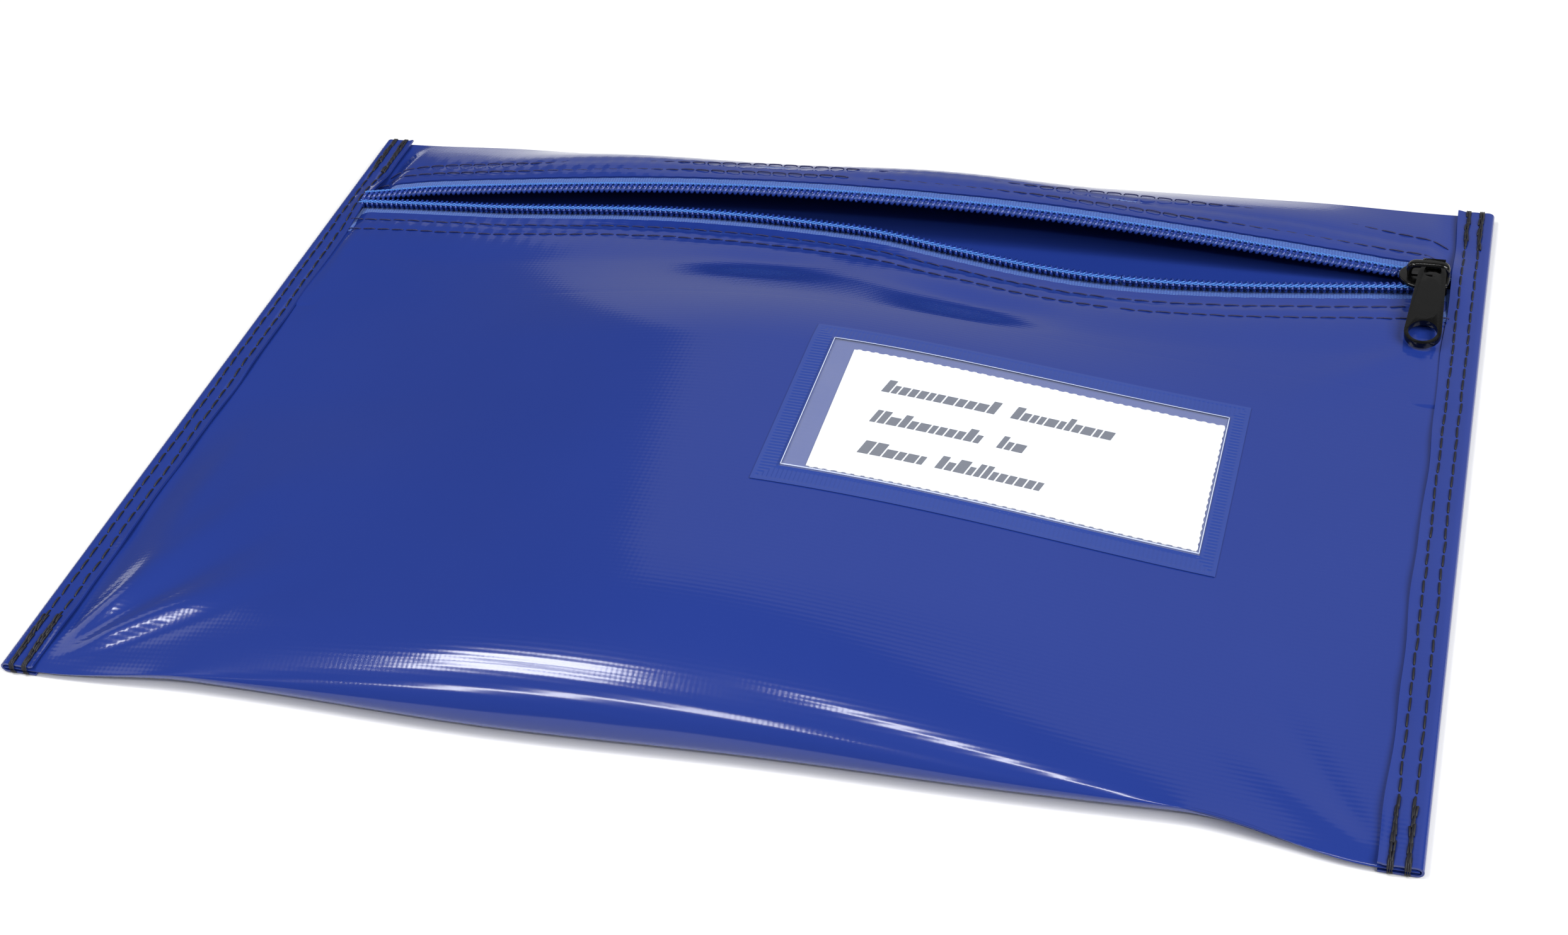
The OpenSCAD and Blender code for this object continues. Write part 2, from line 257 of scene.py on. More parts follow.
# ---- mesh helpers
def new_object(name, verts, faces, smooth=True):
    mesh = bpy.data.meshes.new(name)
    mesh.from_pydata([tuple(v) for v in verts], [], faces)
    mesh.validate()
    mesh.update()
    if smooth:
        mesh.shade_smooth()
    obj = bpy.data.objects.new(name, mesh)
    bpy.context.scene.collection.objects.link(obj)
    return obj


def give(obj, *materials):
    obj.data.materials.clear()
    for m in materials:
        obj.data.materials.append(m)
    return obj


def points_of(x, y, z):
    """Grid of points from coordinates that broadcast to one shape."""
    return np.stack(np.broadcast_arrays(x, y, z), axis=2)


def grid_normals(p):
    """Normals of a grid of points, from its tangents."""
    du = np.gradient(p, axis=0)
    dv = np.gradient(p, axis=1)
    n = np.cross(du, dv)
    return n / np.maximum(1e-9, np.linalg.norm(n, axis=2, keepdims=True))


def sheet(name, top, thickness, up=1, under_material=False):
    """Closed sheet under the grid of points top, in mm. up is -1 if the grid's normals point in."""
    t = np.broadcast_to(np.asarray(thickness, float), top.shape[:2])[..., None]
    low = top - up * grid_normals(top) * t
    rows, cols = top.shape[:2]
    n = rows * cols
    verts = np.concatenate([top.reshape(-1, 3), low.reshape(-1, 3)]) * MM
    i, j = np.meshgrid(np.arange(rows - 1), np.arange(cols - 1), indexing="ij")
    a = (i * cols + j).ravel()
    quads = np.stack([a, a + cols, a + cols + 1, a + 1], axis=1)
    if up < 0:
        quads = quads[:, ::-1]
    under = quads[:, ::-1] + n
    loop = list(range(cols))
    loop += [r * cols + cols - 1 for r in range(1, rows)]
    loop += [(rows - 1) * cols + k for k in range(cols - 2, -1, -1)]
    loop += [r * cols for r in range(rows - 2, 0, -1)]
    rim = []
    for k, b in enumerate(loop):
        c = loop[(k + 1) % len(loop)]
        rim.append((b, c, c + n, b + n) if up > 0 else (c, b, b + n, c + n))
    faces = [tuple(f) for f in quads.tolist()] + [tuple(f) for f in under.tolist()] + rim
    obj = new_object(name, verts, faces)
    sharp = obj.data.attributes.new("sharp_edge", "BOOLEAN", "EDGE")
    edges = {tuple(sorted(e.vertices)): e.index for e in obj.data.edges}
    values = np.zeros(len(obj.data.edges), bool)
    for k, b in enumerate(loop):
        c = loop[(k + 1) % len(loop)]
        for pair in ((b, c), (b + n, c + n)):
            index = edges.get(tuple(sorted(pair)))
            if index is not None:
                values[index] = True
    sharp.data.foreach_set("value", values)
    if under_material:
        index = np.zeros(len(obj.data.polygons), np.int32)
        index[len(quads):2 * len(quads)] = 1
        obj.data.polygons.foreach_set("material_index", index)
    return obj


def tube(points, radius, sides=6):
    """Vertices and faces of a tube along points. radius may be one number or one per point."""
    p = np.asarray(points, float)
    r = np.broadcast_to(np.asarray(radius, float), (len(p),))
    tangent = np.gradient(p, axis=0)
    tangent /= np.maximum(1e-9, np.linalg.norm(tangent, axis=1, keepdims=True))
    guide = np.array([0.0, 0.0, 1.0])
    side = np.cross(tangent, guide)
    weak = np.linalg.norm(side, axis=1) < 1e-3
    side[weak] = np.array([0.0, 1.0, 0.0])
    side /= np.linalg.norm(side, axis=1, keepdims=True)
    up = np.cross(side, tangent)
    angles = np.linspace(0, 2 * math.pi, sides, endpoint=False)
    ring = (p[:, None, :] + r[:, None, None] * (np.cos(angles)[None, :, None] * side[:, None, :]
            + np.sin(angles)[None, :, None] * up[:, None, :]))
    verts = ring.reshape(-1, 3)
    faces = []
    for i in range(len(p) - 1):
        for k in range(sides):
            a, b = i * sides + k, i * sides + (k + 1) % sides
            faces.append((a, b, b + sides, a + sides))
    faces.append(tuple(range(sides - 1, -1, -1)))
    last = (len(p) - 1) * sides
    faces.append(tuple(last + k for k in range(sides)))
    return verts, faces


def joined(name, parts):
    """One object from a list of (vertices, faces) in mm."""
    verts, faces, base = [], [], 0
    for v, f in parts:
        verts.append(np.asarray(v) * MM)
        faces.extend(tuple(i + base for i in face) for face in f)
        base += len(v)
    return new_object(name, np.concatenate(verts), faces)


def stitch(a, b, up, radius=0.24, sink=0.25, arch=0.34):
    """One stitch from hole a to hole b: a thread that rises out of the sheet and dives back in."""
    a, b, up = (np.asarray(v, float) for v in (a, b, up))
    steps = ((0.0, -sink), (0.09, 0.4), (0.28, 0.9), (0.5, 1.0), (0.72, 0.9), (0.91, 0.4), (1.0, -sink))
    points = [a + (b - a) * t + up * (h * arch if h > 0 else h) for t, h in steps]
    return tube(points, radius, sides=6)


# ---- material helpers
class Nodes:
    """A few shorthands for building a material's nodes."""

    def __init__(self, name):
        self.material = bpy.data.materials.new(name)
        self.material.use_nodes = True
        self.tree = self.material.node_tree
        self.shader = self.tree.nodes["Principled BSDF"]

    def add(self, kind, **settings):
        node = self.tree.nodes.new(kind)
        for key, value in settings.items():
            setattr(node, key, value)
        return node

    def link(self, a, b):
        self.tree.links.new(a, b)

    def set(self, **values):
        for key, value in values.items():
            self.shader.inputs[key.replace("_", " ")].default_value = value

    def position(self, scale=(1, 1, 1), rotate=0.0):
        """Object position in metres times scale."""
        coords = self.add("ShaderNodeTexCoord")
        mapping = self.add("ShaderNodeMapping")
        mapping.inputs["Scale"].default_value = scale
        mapping.inputs["Rotation"].default_value = (0, 0, rotate)
        self.link(coords.outputs["Object"], mapping.inputs["Vector"])
        return mapping.outputs["Vector"]

    def noise(self, vector, scale, detail=2.0, rough=0.5):
        node = self.add("ShaderNodeTexNoise")
        node.inputs["Scale"].default_value = scale
        node.inputs["Detail"].default_value = detail
        node.inputs["Roughness"].default_value = rough
        self.link(vector, node.inputs["Vector"])
        return node.outputs["Fac"]

    def bands(self, vector, scale, direction, distortion=0.0):
        node = self.add("ShaderNodeTexWave", wave_type="BANDS", bands_direction=direction,
                        wave_profile="SIN")
        node.inputs["Scale"].default_value = scale
        node.inputs["Distortion"].default_value = distortion
        node.inputs["Detail Scale"].default_value = 1.0
        self.link(vector, node.inputs["Vector"])
        return node.outputs["Fac"]

    def math(self, operation, a, b):
        node = self.add("ShaderNodeMath", operation=operation)
        for socket, value in zip(node.inputs, (a, b)):
            if isinstance(value, (int, float)):
                socket.default_value = value
            else:
                self.link(value, socket)
        return node.outputs["Value"]

    def range(self, value, low, high, from_low=0.0, from_high=1.0):
        node = self.add("ShaderNodeMapRange")
        node.inputs["From Min"].default_value = from_low
        node.inputs["From Max"].default_value = from_high
        node.inputs["To Min"].default_value = low
        node.inputs["To Max"].default_value = high
        self.link(value, node.inputs["Value"])
        return node.outputs["Result"]

    def blend(self, factor, a, b):
        node = self.add("ShaderNodeMix", data_type="RGBA")
        sockets = [s for s in node.inputs if s.type == "RGBA"]
        sockets[0].default_value = (*a, 1)
        sockets[1].default_value = (*b, 1)
        self.link(factor, node.inputs["Factor"])
        return [s for s in node.outputs if s.type == "RGBA"][0]

    def bump(self, height, distance, strength=1.0):
        node = self.add("ShaderNodeBump")
        node.inputs["Distance"].default_value = distance
        node.inputs["Strength"].default_value = strength
        self.link(height, node.inputs["Height"])
        self.link(node.outputs["Normal"], self.shader.inputs["Normal"])

    def colour(self, socket):
        self.link(socket, self.shader.inputs["Base Color"])

    def roughness(self, socket):
        self.link(socket, self.shader.inputs["Roughness"])


def coated_material(name, dark, light, weave=1.0):
    """Glossy PVC coating over a weave that shows through it."""
    n = Nodes(name)
    where = n.position()
    across = n.bands(where, 240, "Y", 0.15)
    along = n.bands(where, 240, "X", 0.15)
    cloth = n.math("ADD", n.math("MULTIPLY", across, 1.0), n.math("MULTIPLY", along, 0.45))
    patches = n.noise(where, 18, 3)
    n.colour(n.blend(patches, dark, light))
    grain = n.noise(where, 900, 2)
    n.roughness(n.range(n.math("ADD", n.math("MULTIPLY", grain, 0.4), n.math("MULTIPLY", patches, 0.6)),
                        0.10, 0.16))
    peel = n.noise(where, 420, 2)
    height = n.math("ADD", n.math("MULTIPLY", cloth, 0.5 * weave), n.math("MULTIPLY", peel, 0.5))
    n.bump(height, 0.00003, 0.55)
    n.set(IOR=1.5)
    return n.material


def inside_material():
    n = Nodes("sheet_inside")
    where = n.position()
    cloth = n.math("MULTIPLY", n.bands(where, 310, "Y", 0.2), n.bands(where, 310, "X", 0.2))
    n.colour(n.blend(n.noise(where, 40, 3), (0.0022, 0.0024, 0.012), (0.0038, 0.0042, 0.024)))
    n.roughness(n.range(cloth, 0.62, 0.8))
    n.bump(cloth, 0.00008, 0.5)
    return n.material


def tape_material():
    """Knitted polyester tape with fine slanting ribs."""
    n = Nodes("zip_tape_cloth")
    where = n.position()
    slant = n.position(rotate=0.9)
    ribs = n.bands(slant, 620, "X", 0.6)
    rows = n.bands(where, 520, "Y", 0.8)
    cloth = n.math("MULTIPLY", ribs, rows)
    n.colour(n.blend(cloth, (0.018, 0.055, 0.27), (0.06, 0.20, 0.62)))
    n.roughness(n.range(n.noise(where, 700, 2), 0.6, 0.85))
    n.bump(cloth, 0.00012, 0.8)
    n.set(Sheen_Weight=0.25)
    return n.material


def thread_material(name, dark, light, rough=0.5, scale=1400):
    """Twisted thread."""
    n = Nodes(name)
    where = n.position(rotate=0.6)
    twist = n.bands(where, scale, "X", 1.5)
    n.colour(n.blend(twist, dark, light))
    n.roughness(n.range(n.noise(where, 900, 2), rough - 0.1, rough + 0.1))
    n.bump(twist, 0.00006, 0.7)
    return n.material


def coil_material():
    n = Nodes("zip_coil_filament")
    where = n.position()
    n.colour(n.blend(n.noise(where, 500, 2), (0.012, 0.030, 0.20), (0.022, 0.060, 0.34)))
    n.roughness(n.range(n.noise(where, 1200, 2), 0.16, 0.26))
    n.bump(n.noise(where, 2500, 2), 0.00002, 0.4)
    n.set(IOR=1.57)
    return n.material


def enamel_material():
    """Gloss black enamel on a die-cast slider, a little worn."""
    n = Nodes("slider_enamel")
    where = n.position()
    wear = n.noise(where, 260, 4, 0.6)
    n.colour(n.blend(n.range(wear, 0, 1, 0.55, 0.8), (0.0022, 0.0022, 0.0022), (0.006, 0.006, 0.0055)))
    n.roughness(n.range(wear, 0.10, 0.24))
    n.bump(n.noise(where, 1500, 3), 0.00003, 0.35)
    n.set(IOR=1.45)
    return n.material


def steel_material():
    n = Nodes("pawl_steel")
    where = n.position(scale=(1, 8, 1))
    brushed = n.noise(where, 900, 3)
    n.colour(n.blend(brushed, (0.05, 0.05, 0.052), (0.09, 0.09, 0.092)))
    n.roughness(n.range(brushed, 0.25, 0.4))
    n.bump(brushed, 0.00002, 0.5)
    n.set(Metallic=1.0)
    return n.material


def film_material(name, alpha, rough):
    """Clear vinyl: mostly see-through, with gloss."""
    n = Nodes(name)
    where = n.position()
    haze = n.noise(where, 60, 3)
    n.colour(n.blend(haze, (0.62, 0.70, 0.95), (0.80, 0.86, 1.0)))
    n.roughness(n.range(haze, rough, rough + 0.08))
    n.bump(n.noise(where, 240, 2), 0.00003, 0.35)
    n.set(Alpha=alpha, IOR=1.53)
    return n.material


def card_material():
    n = Nodes("card_board")
    where = n.position()
    fibres = n.noise(where, 1600, 4, 0.65)
    n.colour(n.blend(fibres, (0.80, 0.80, 0.77), (0.88, 0.88, 0.85)))
    n.roughness(n.range(fibres, 0.65, 0.8))
    n.bump(fibres, 0.00003, 0.4)
    return n.material


def ink_material():
    n = Nodes("card_ink")
    where = n.position()
    fibres = n.noise(where, 1600, 4, 0.65)
    n.colour(n.blend(fibres, (0.04, 0.04, 0.04), (0.06, 0.06, 0.06)))
    n.roughness(n.range(fibres, 0.55, 0.7))
    return n.material


COATED = coated_material("coated_blue", (0.0125, 0.0320, 0.205), (0.0150, 0.0360, 0.224))
BINDING = coated_material("binding_blue", (0.0115, 0.0300, 0.195), (0.0165, 0.0380, 0.226), 0.8)
INSIDE = inside_material()
TAPE = tape_material()
COIL = coil_material()
BRAID = thread_material("zip_braid_thread", (0.02, 0.10, 0.42), (0.09, 0.29, 0.78), 0.45)
BLACK_THREAD = thread_material("seam_black_thread", (0.003, 0.003, 0.006), (0.012, 0.012, 0.02), 0.5)
NAVY_THREAD = thread_material("seam_navy_thread", (0.006, 0.008, 0.05), (0.014, 0.018, 0.11), 0.5)
ENAMEL = enamel_material()
STEEL = steel_material()
FILM_CLEAR = film_material("film_clear", 0.10, 0.05)
FILM_WELD = coated_material("film_weld", (0.020, 0.045, 0.235), (0.026, 0.055, 0.262), 0.4)
# Painted highlight: a pale, nearly opaque vinyl for the thin tubes that draw a bright line along the label
# pocket's inner edge.
FILM_PAINTED_HIGHLIGHT = film_material("film_painted_highlight", 0.75, 0.12)
CARD_MAT = card_material()
INK = ink_material()


# ---- camera, floor and lights
def make_camera():
    """The camera stands in front of the bag, to its right and above it, a little rolled."""
    location = Vector((0.17533, -0.45494, 0.39590))
    heading, pitch, roll = (math.radians(a) for a in (21.54, -39.88, -8.16))
    data = bpy.data.cameras.new("camera")
    data.lens = 53.306
    data.sensor_width = 36
    camera = bpy.data.objects.new("camera", data)
    aim = (Matrix.Rotation(heading, 4, "Z") @ Matrix.Rotation(math.pi / 2 + pitch, 4, "X")
           @ Matrix.Rotation(roll, 4, "Z"))
    camera.matrix_world = Matrix.Translation(location) @ aim
    bpy.context.scene.collection.objects.link(camera)
    bpy.context.scene.camera = camera


def floor_material():
    n = Nodes("floor_white")
    where = n.position()
    n.colour(n.blend(n.noise(where, 30, 2), (0.83, 0.83, 0.83), (0.86, 0.86, 0.86)))
    n.roughness(n.range(n.noise(where, 200, 2), 0.6, 0.7))
    return n.material


def make_floor():
    size = 4.0
    verts = [(-size, -size, -0.0002), (size, -size, -0.0002), (size, size, -0.0002),
             (-size, size, -0.0002)]
    floor = new_object("floor", verts, [(0, 1, 2, 3)], smooth=False)
    give(floor, floor_material())


def strip_light(name, start, end, width, radiance, target=(0, 0, 0)):
    """Long softbox between two points, facing the target."""
    start, end, target = Vector(start), Vector(end), Vector(target)
    along = end - start
    data = bpy.data.lights.new(name, "AREA")
    data.shape = "RECTANGLE"
    data.size, data.size_y = along.length, width
    data.energy = radiance * math.pi * along.length * width
    light = bpy.data.objects.new(name, data)
    middle = (start + end) / 2
    x_axis = along.normalized()
    z_axis = (middle - target) - (middle - target).project(x_axis)
    z_axis.normalize()
    y_axis = z_axis.cross(x_axis)
    basis = Matrix((x_axis, y_axis, z_axis)).transposed().to_4x4()
    light.matrix_world = Matrix.Translation(middle) @ basis
    bpy.context.scene.collection.objects.link(light)


def make_lights():
    bpy.context.scene.view_settings.view_transform = "Standard"
    world = bpy.data.worlds.new("studio")
    world.use_nodes = True
    world.node_tree.nodes["Background"].inputs["Color"].default_value = (1, 1, 1, 1)
    world.node_tree.nodes["Background"].inputs["Strength"].default_value = 0.12
    bpy.context.scene.world = world
    strip_light("left_tube_far", (-0.84, 0.04, 1.2), (-0.37, -0.20, 1.2), 0.10, 26)
    strip_light("left_tube_near", (-0.84, -0.13, 1.2), (-0.37, -0.38, 1.2), 0.10, 26)
    strip_light("left_window", (-1.68, 0.12, 0.78), (-1.46, 0.82, 0.78), 0.8, 0.95)
    strip_light("middle_tube", (-0.12, -0.10, 1.2), (0.24, -0.04, 1.2), 0.06, 28)
    strip_light("front_tube", (-0.95, -0.95, 1.2), (-0.25, -1.0, 1.2), 0.09, 24)
    strip_light("back_softbox", (-0.9, 1.5, 1.03), (1.7, 1.5, 1.03), 2.06, 0.34, (0.4, 0, 1.03))
    strip_light("right_softbox", (1.5, -1.5, 1.4), (1.5, 0.1, 1.4), 1.3, 7.8)


make_camera()
make_floor()
make_lights()


# ---- the bag's walls
def make_shell():
    """Front panel, bottom fold and back panel: one sheet, open under the hem and at the top fold."""
    xs = np.linspace(-HALF_W + 1, HALF_W - 1, 233)
    x = xs[:, None]
    panel_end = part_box("front_panel")[1].y / MM
    y_front = np.linspace(panel_end, ROLL_Y, 82)[None, :]
    sunk = 0.62 * ease((y_front - HEM_Y - 4) / 7)
    front = points_of(x, y_front, panel_top(x, y_front) - sunk)
    a = np.radians(np.linspace(0, 90, 44)[None, 1:])
    by, rz = bottom_y(x), roll_z(x)
    ry = ROLL_Y - (ROLL_Y - by) * np.sin(a)
    roll = points_of(x, ry, roll_top(x, ry))
    b = np.radians(np.linspace(90, 0, 16)[None, 1:])
    low = back_low(x)
    under = points_of(x, by + FOLD_R - FOLD_R * np.sin(b), rz - (rz - low) * np.cos(b))
    y_back = np.linspace(-HALF_H + 20, TOP_Y - 16, 40)[None, :]
    ripple = 0.15 * (1 + np.sin(x / 23.0) * np.sin(y_back / 29.0)) * inner(x) * bump(y_back, 0, 100)
    back = points_of(x, y_back, low + ripple)
    c = np.radians(np.linspace(0, 90, 14)[None, :])
    tz = fold_top_z(x)
    fold = points_of(x, TOP_Y - FOLD_R + FOLD_R * np.sin(c), tz - (tz - low) * np.cos(c))
    top = np.concatenate([front, roll, under, back, fold], axis=1)
    shell = sheet("bag_shell", top, SHEET_T, up=-1, under_material=True)
    give(shell, COATED, INSIDE)
    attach(shell, "bag")
    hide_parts("front_panel", "back_panel")


def lip_columns(low, high, end):
    """Columns of a lip piece between low and high, with end as the outer end."""
    count = int(abs(high - low) / 1.3)
    xs = np.linspace(low, high, count)
    return np.clip(xs, -end, end)


def bend_front(obj, left):
    """Bakes a front-lip piece's transform into its mesh; it does not bend the piece."""
    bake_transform(obj)


def bend_back(obj, left):
    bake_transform(obj)


def make_hem(side, low, high):
    """Folded upper edge of the front panel, from beside the coil down over the panel."""
    xs = lip_columns(low, high, SEAM_X + 1.5)
    x = xs[:, None]
    depth = front_y(x) - HEM_Y
    q = np.linspace(0, 1, 46)[None, :]
    c = 4.5 + (depth - 4.5) * q
    z = hem_top(x, c)
    flat = ease((np.abs(x) - 161) / 5)
    z = mix(z, np.minimum(z, panel_top(x, front_y(x) - c) + 0.5), flat)
    up_from_end = (1 - q) * depth
    z = z - 0.07 + 0.09 * ease(up_from_end / 7)
    top = points_of(x, front_y(x) - c, z)
    skirt_q = np.linspace(0, 1, 18)[None, 1:]
    skirt_y = HEM_Y - SKIRT * skirt_q
    skirt_z = panel_top(x, skirt_y) - 0.07 - 0.25 * ease(skirt_q * 6) - 5.5 * ease(skirt_q) * bump(x, 76, 110)
    skirt = points_of(x, skirt_y, skirt_z)
    thick = 0.02 + (SHEET_T - 0.02) * ease(up_from_end / 9)
    thick = np.concatenate([np.broadcast_to(thick, z.shape), np.full(skirt_z.shape, 0.02)], axis=1)
    hem = sheet("front_hem_" + side, np.concatenate([top, skirt], axis=1), thick, up=-1)
    give(hem, COATED)
    bend_front(hem, side == "left")
    return hem


def make_strip(side, low, high):
    """Strip from the top fold down to the folded edge beside the back coil."""
    xs = lip_columns(low, high, HALF_W - 1)
    x = xs[:, None]
    reach = TOP_Y - back_y(x)
    q = np.linspace(0, 1, 34)[None, :]
    c = reach + (4.5 - reach) * q
    z = strip_top(x, c, side_fade(x)) + 0.8 * np.sin(math.pi * q) * np.sin(x / 17.0 + 0.5) * inner(x)
    y = back_y(x) + c
    top = points_of(x, y, z)
    strip = sheet("top_strip_" + side, top, SHEET_T, up=-1)
    give(strip, COATED)
    bend_back(strip, side == "left")
    return strip


def make_tape(side, low, high, front):
    """Woven tape under a coil, reaching under the hem."""
    xs = lip_columns(low, high, SEAM_X + 0.6)
    x = xs[:, None]
    c = np.linspace(-1.4, 14, 16)[None, :]
    if front:
        z = hem_top(x, np.maximum(c, 4)) - 1.0
        y = front_y(x) - c
    else:
        edge = strip_top(x, np.maximum(c, 5), side_fade(x)) - 0.7
        z = mix(back_z(x) + 0.2, edge, ease((c + 0.5) / 4))
        y = back_y(x) + c
    top = points_of(x, y, z)
    name = ("zip_tape_front_" if front else "zip_tape_back_") + side
    tape = sheet(name, top, 0.4, up=-1 if front else 1)
    give(tape, TAPE)
    (bend_front if front else bend_back)(tape, side == "left")
    return tape


def make_coil(side, low, high, front):
    """Helical coil: filament turns round a core, with sewing thread looped over each turn."""
    turns = int((high - low) / COIL_PITCH)
    steps = 18
    s = np.linspace(0, 1, turns * steps + 1)
    x = low + (high - low) * s
    angle = 2 * math.pi * turns * s
    toward = 1 if front else -1
    row_y = front_y if front else back_y
    row_z = front_z if front else back_z
    head = np.maximum(0, np.cos(angle)) ** 3
    points = np.stack([x + 0.28 * np.sin(angle), row_y(x) + toward * (1.45 * np.cos(angle) + 0.25 * head),
                       row_z(x) + 0.92 * np.sin(angle)], axis=1)
    filament = tube(points, 0.40 + 0.13 * head, sides=7)
    core_x = np.linspace(low, high, turns * 2)
    core = tube(np.stack([core_x, row_y(core_x) - toward * 0.25, row_z(core_x)], axis=1), 0.62, sides=6)
    kind = "front_" if front else "back_"
    coil = joined("zip_coil_" + kind + side, [filament, core])
    give(coil, COIL)
    loops = []
    for phase, lane in ((0.0, -0.45), (0.5, -0.85)):
        t = np.linspace(0, 1, turns * 10 + 1)
        bx = low + (high - low) * t
        wave = 2 * math.pi * (turns * t + phase)
        by = row_y(bx) + toward * (lane + 0.24 * np.sin(wave))
        bz = row_z(bx) + 1.22 + 0.14 * np.cos(wave) + 0.3 * lane
        loops.append(tube(np.stack([bx + 0.25 * np.cos(wave), by, bz], axis=1), 0.25, sides=6))
    braid = joined("zip_braid_" + kind + side, loops)
    give(braid, BRAID)
    for piece in (coil, braid):
        (bend_front if front else bend_back)(piece, side == "left")
    return [coil, braid]


def make_zip_seams(side, low, high, front):
    """Two rows of separate stitches beside a coil."""
    parts = []
    gap = 0.75
    for row in range(2):
        x = low + 0.6 + 1.9 * row
        while x + STITCH_PITCH < high:
            ends = np.array([x, x + STITCH_PITCH - gap])
            cs = seam_rows(ends, front)[row] + random.uniform(-0.12, 0.12)
            cs = cs + np.array([0.0, random.uniform(-0.15, 0.15)])
            if front:
                y = front_y(ends) - cs
                z = hem_top(ends, cs)
            else:
                y = back_y(ends) + cs
                z = strip_top(ends, cs, side_fade(ends))
            parts.append(stitch((ends[0], y[0], z[0] + 0.1), (ends[1], y[1], z[1] + 0.1), (0, 0, 1),
                                radius=0.2, arch=0.16))
            x += STITCH_PITCH
    name = ("seam_front_" if front else "seam_back_") + side
    seam = joined(name, parts)
    give(seam, NAVY_THREAD)
    (bend_front if front else bend_back)(seam, side == "left")
    return seam


def make_lips():
    zip_end = LIP_X + 2
    spans = {"left": (-zip_end, FRONT_SPLIT_X), "right": (FRONT_SPLIT_X, zip_end)}
    for side, (low, high) in spans.items():
        edge = SEAM_X + 1.5
        hem = make_hem(side, max(low, -edge), min(high, edge))
        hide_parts("front_hem")
        tape = make_tape(side, low, high, True)
        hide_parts("zip_tape_front")
        coil, braid = make_coil(side, low + 0.5, min(high, COIL_END), True)
        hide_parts("zip_coil_front")
        seam = make_zip_seams(side, low, high, True)
        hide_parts("front_zip_thread")
    spans = {"left": (-zip_end, BACK_SPLIT_X), "right": (BACK_SPLIT_X, zip_end)}
    for side, (low, high) in spans.items():
        edge = HALF_W - 1
        strip = make_strip(side, -edge if side == "left" else low, high if side == "left" else edge)
        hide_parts("top_strip", "back_hem")
        tape = make_tape(side, low, high, False)
        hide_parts("zip_tape_back")
        coil, braid = make_coil(side, low + 0.5, min(high, COIL_END), False)
        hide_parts("zip_coil_back")
        seam = make_zip_seams(side, low, high, False)
        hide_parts("back_zip_thread")


# ---- side bindings
def binding_top(x, y):
    """Upper surface of a binding; it lifts over the zip and at its free inner edge."""
    inward = ease((HALF_W - 1.5 - np.abs(x)) / 8)
    zip_lump = (2.0 * bump(y, 86, 19) + 0.4 * bump(y, 66, 12)) * inward
    free_edge = 0.35 * ease((SEAM_X + 1.6 - np.abs(x)) / 1.6)
    wave = 0.12 * np.sin(y / 6.1) + 0.08 * np.sin(y / 2.9 + 1.0)
    seams = 0.16 * (np.exp(-((HALF_W - np.abs(x) - 3.5) / 0.7) ** 2)
                    + np.exp(-((HALF_W - np.abs(x) - 7.2) / 0.7) ** 2))
    return BINDING_H + zip_lump + free_edge + wave * inward - seams


def binding_section(y, side):
    """Points round the folded strip, from the inner edge on top to the inner edge below."""
    wobble = 0.28 * math.sin(y / 13.0 + side) + 0.16 * math.sin(y / 5.1)
    points = []
    for d in np.linspace(0, HALF_W - 1.6 - SEAM_X, 22):
        x = SEAM_X + wobble * (1 - d / 9.0) + d
        points.append((x, float(binding_top(x, y))))
    centre_z = BINDING_H / 2
    for a in np.linspace(80, -80, 9):
        points.append((HALF_W - 1.5 + 1.45 * math.cos(math.radians(a)),
                       centre_z + (centre_z - 0.08) * math.sin(math.radians(a))))
    for d in np.linspace(HALF_W - 1.6 - SEAM_X, 0, 12):
        points.append((SEAM_X + d, 0.05))
    return [(side * x, y, z) for x, z in points]


def make_binding(side, name):
    rows = np.linspace(-HALF_H + 0.1, HALF_H - 0.1, 260)
    top = np.array([binding_section(y, side) for y in rows])
    binding = sheet(name + "_folded", top, 0.55, up=-side)
    give(binding, BINDING)
    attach(binding, "bag")
    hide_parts(name)


